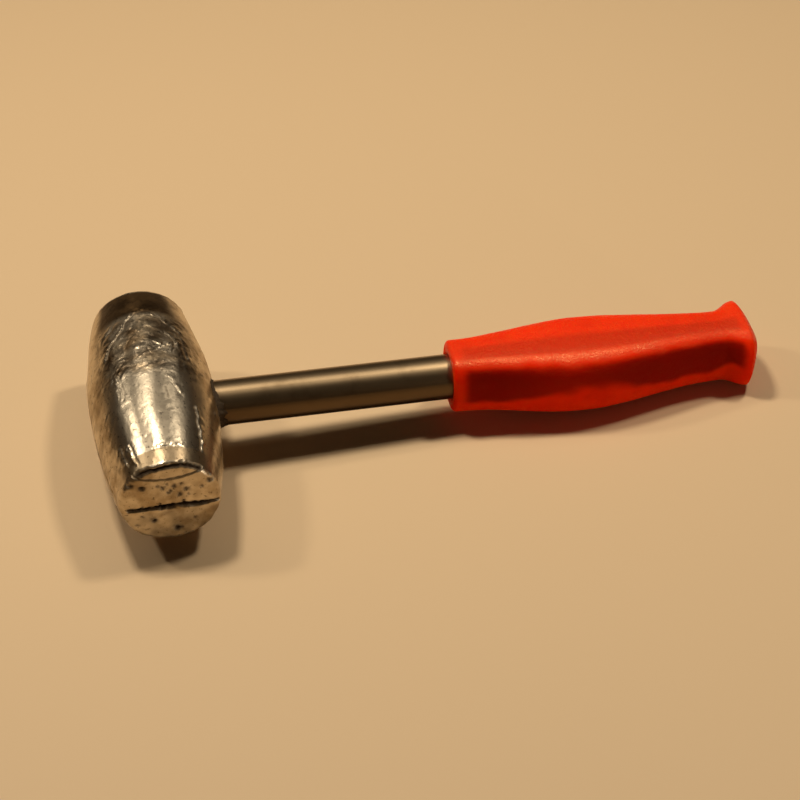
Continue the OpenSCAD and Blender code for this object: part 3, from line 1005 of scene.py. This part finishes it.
def grip_stations():
    """x, half width, half thickness, lean, squareness and bore mask of every section, from the bore's end
    out over the lip and on to the heel's tip."""
    bore_end = GRIP_END - END_WALL
    bore_x = np.linspace(bore_end, GRIP_START + MOUTH_BEVEL, BORE_ROWS)
    bore_x = np.concatenate([[bore_end - POLE_STEP], bore_x])
    bore_r = np.concatenate([[0.6 * BORE_R], np.full(BORE_ROWS, BORE_R)])
    rim = np.linspace(0, 1, 6)
    face_wide = (BORE_R + MOUTH_BEVEL) * (1 - rim) + (LIP_WIDTH / 2 - LIP_R) * rim
    face_thick = (BORE_R + MOUTH_BEVEL) * (1 - rim) + (LIP_THICKNESS / 2 - LIP_R) * rim
    turn = np.linspace(0, math.pi / 2, 12)[1:]
    lip_u = LIP_R * (1 - np.cos(turn))
    long_u = np.linspace(LIP_R, WAIST_AT, BODY_ROWS)[1:]
    flare_u = np.linspace(WAIST_AT, HEEL_AT, FLARE_ROWS)[1:]
    body_u = np.concatenate([lip_u, long_u, flare_u])
    inset = LIP_R - np.sqrt(np.maximum(LIP_R**2 - (LIP_R - body_u) ** 2, 0))
    inset = np.where(body_u < LIP_R, inset, 0)
    wide = swept(body_u, LIP_WIDTH, SWELL_WIDTH, WAIST_WIDTH, HEEL_WIDTH) / 2 - inset
    thick = swept(body_u, LIP_THICKNESS, SWELL_THICKNESS, WAIST_THICKNESS, HEEL_THICKNESS) / 2 - inset
    lean = swept(body_u, 0, SWELL_LEAN, 0, 0) / 2
    a = np.linspace(0, math.pi / 2, 30)[1:-1]
    shrink = np.cos(a) ** (2 / CROWN_FULLNESS)
    crown_x = GRIP_END - CROWN_LENGTH * (1 - np.sin(a) ** (2 / CROWN_FULLNESS))
    x = np.concatenate([bore_x, 0 * rim + GRIP_START, GRIP_START + body_u, crown_x])
    wide = np.concatenate([bore_r, face_wide, wide, shrink * HEEL_WIDTH / 2])
    thick = np.concatenate([bore_r, face_thick, thick, shrink * HEEL_THICKNESS / 2])
    lean = np.concatenate([0 * bore_x, 0 * rim, lean, 0 * crown_x])
    square = np.full(len(x), SQUARENESS)
    square[: len(bore_x)] = 2.0
    square[len(bore_x) : len(bore_x) + len(rim)] = 2.0 + (SQUARENESS - 2.0) * rim
    inside = np.concatenate([np.ones(len(bore_x) + 1), np.zeros(len(x) - len(bore_x) - 1)])
    return x, wide, thick, lean, square, inside


# %% The grip's skin
GRIP_INSET = 0.12

# Every station's values as a column, to meet the angles of its section in a row
station_x, wide, thick, lean, square, inside = (values[:, None] for values in grip_stations())
angle = np.linspace(0, 2 * np.pi, GRIP_COLUMNS, endpoint=False)


def section(wide, thick, lean, square):
    """Points (y, z) of superellipses: (cos a, sin a) stretched by (|cos a|^q + |sin a|^q)^(-1/q)."""
    stretch = (np.abs(np.cos(angle)) ** square + np.abs(np.sin(angle)) ** square) ** (-1 / square)
    return -lean + wide * stretch * np.cos(angle), thick * stretch * np.sin(angle)


grip_y, grip_z = section(wide, thick, lean, square)
grip_skin = np.stack([station_x + 0 * angle, grip_y, grip_z], axis=-1)
outer = (1 - inside) * above(station_x, GRIP_START + 1, 6)
softness = (0.10 * waves(grip_skin, 22, seed=51) + 0.025 * waves(grip_skin, 5, seed=52) - GRIP_INSET) * outer
radial = grip_skin - np.stack([station_x, -lean, 0 * lean], axis=-1)
radial /= np.maximum(np.linalg.norm(radial, axis=-1, keepdims=True), 1e-6)
grip_points = (grip_skin + softness[..., None] * radial).reshape(-1, 3)
ends = np.array([[station_x[0, 0], 0.0, 0.0], [GRIP_END - POLE_STEP, 0.0, 0.0]])
grip_points = np.concatenate([grip_points, ends])
grip_quads, grip_fans = closed_grid(grip_points, len(station_x), GRIP_COLUMNS)
low, high = (np.array(corner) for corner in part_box("grip"))
grip = build_mesh("vinyl_grip", np.clip(to_table(grip_points), low, high), grip_quads, grip_fans)
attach(grip, "root")
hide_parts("grip")
print("grip:", len(grip.data.polygons), "faces")

# %% [markdown]
# The grip's flat sides carry painted shade: a dark panel whose lower edge rises at the swell and towards
# the heel. A band of painted shade lies beside the near shoulder. A grip wears where a hand holds it: only
# that shoulder keeps its shine, most of all near the tube; the upper side is half matt and the sides fully.
# Each mask follows from a point's place along, up and out to the side.

# %% The grip's masks
along_grip = station_x - GRIP_START
up = grip_z / thick + 0.05 * waves(grip_skin, 9, seed=53)
near_way = -(grip_y + lean) / wide
out = np.abs(near_way)

# Painted shade: a dark panel on each flat side, between these ends and edges
panel_ends = above(along_grip, 2.5, 5) * below(along_grip, HEEL_AT - 1.0, 4)
upper_edge = 1.04 + 0.06 * above(along_grip, 60, 30)
lower_edge = -0.58 + 0.48 * bell(along_grip - 56, 32) + 0.19 * above(along_grip, 84, 22)
lower_edge = lower_edge + 0.26 * above(along_grip, 111, 11)
lower_fade = 0.25 + 0.30 * bell(along_grip - 62, 16)
panel_sides = below(up, upper_edge, 0.40) * above(up, lower_edge, lower_fade) * above(out, 0.74, 0.16)
side_shade = panel_ends * panel_sides * (1 - 0.22 * bell(along_grip - 48, 16))

matt = np.maximum(below(up, 0.94, 0.18), 0.55 * above(along_grip, 62, 45))
matt = np.maximum(matt, 0.65 * below(near_way, 0.66, 0.2))
# Painted shade: a darker band on the top face beside the near shoulder, on the near side only
shoulder_shade = above(near_way, -0.15, 0.25) * below(near_way, 0.62, 0.2) * above(up, 0.6, 0.2) * panel_ends

# Each row: the mask's name, its values on the skin and its value at the two end points
for label, on_skin, at_ends in (("side_shade", side_shade, 0), ("matt", matt, 1), ("shoulder_shade", shoulder_shade, 0)):
    save_mask(grip, label, np.concatenate([on_skin.ravel(), [at_ends, at_ends]]))
print("dark panels cover", round(float((side_shade > 0.5).mean()), 3), "of the grip's points")

# %% [markdown]
# Moulded vinyl has a fine spark-eroded grain that breaks the lamp's reflection into specks. Light sinks a
# few millimetres into the soft red plastic before it comes back out, so its edges glow. One red with one
# gloss would look like wet paint, so a mottle and the masks mix in three more reds and set the gloss. The
# specular level varies too, and the roughness repeats that, since an exported model keeps only the latter.

# %% The finish of the vinyl
VINYL_RED = (0.90, 0.028, 0.0012, 1.0)
VINYL_CLOUDS = (0.78, 0.022, 0.0010, 1.0)
# The next two reds are painted shade: a band beside the near shoulder and dark panels on the flat sides
VINYL_SHOULDER_SHADE = (0.62, 0.018, 0.0010, 1.0)
VINYL_SIDE_SHADE = (0.23, 0.0030, 0.0005, 1.0)
VINYL_GLOW = (1.0, 0.10, 0.04)
VINYL_GLOW_DEPTH = 0.010
VINYL_SHEEN = (1.0, 0.70, 0.28, 1.0)
VINYL_ROUGHNESS = 0.17
MATT_ROUGHER = 0.3
GRAIN_ROUGHER = 0.30
SIDE_SHADE_STRENGTH = 0.9
MATT_LOSS = -0.95

vinyl_finish, tree, shader, place = new_finish("red_vinyl_skin")
patches = use_effect(tree, mottle, place, Scale=70.0, Fine_Scale=1100.0)
grain = use_effect(tree, relief, place, Scale=1000.0, Strength=1.0, Depth=0.00030)
clouds = ramp(tree, patches.outputs["Broad"], 0.40, 0.70)
reds = mix_colour(tree, clouds, VINYL_RED, VINYL_CLOUDS)
# Painted shade: a darker band beside the near shoulder
reds = mix_colour(tree, saved(tree, "shoulder_shade"), reds, VINYL_SHOULDER_SHADE)
# Painted shade: the dark panels on the flat sides
side_shade_amount = math_node(tree, "MULTIPLY", saved(tree, "side_shade"), SIDE_SHADE_STRENGTH)
reds = mix_colour(tree, side_shade_amount, reds, VINYL_SIDE_SHADE)
rough = math_node(tree, "MULTIPLY_ADD", saved(tree, "matt"), MATT_ROUGHER, VINYL_ROUGHNESS)
speckle = ramp(tree, patches.outputs["Fine"], 0.40, 0.62)
rough = math_node(tree, "MULTIPLY_ADD", speckle, GRAIN_ROUGHER, rough)
shine = math_node(tree, "MULTIPLY_ADD", saved(tree, "matt"), MATT_LOSS, 1.0)
feed(tree, shader, {"Base Color": reds, "Roughness": rough, "Specular IOR Level": shine})
feed(tree, shader, {"Normal": grain.outputs["Normal"]})
shader.inputs["Specular Tint"].default_value = VINYL_SHEEN
shader.subsurface_method = "RANDOM_WALK"
shader.inputs["Subsurface Weight"].default_value = 1.0
shader.inputs["Subsurface Radius"].default_value = VINYL_GLOW
shader.inputs["Subsurface Scale"].default_value = VINYL_GLOW_DEPTH
grip.data.materials.append(vinyl_finish)
print("vinyl finish has", len(tree.nodes), "nodes")
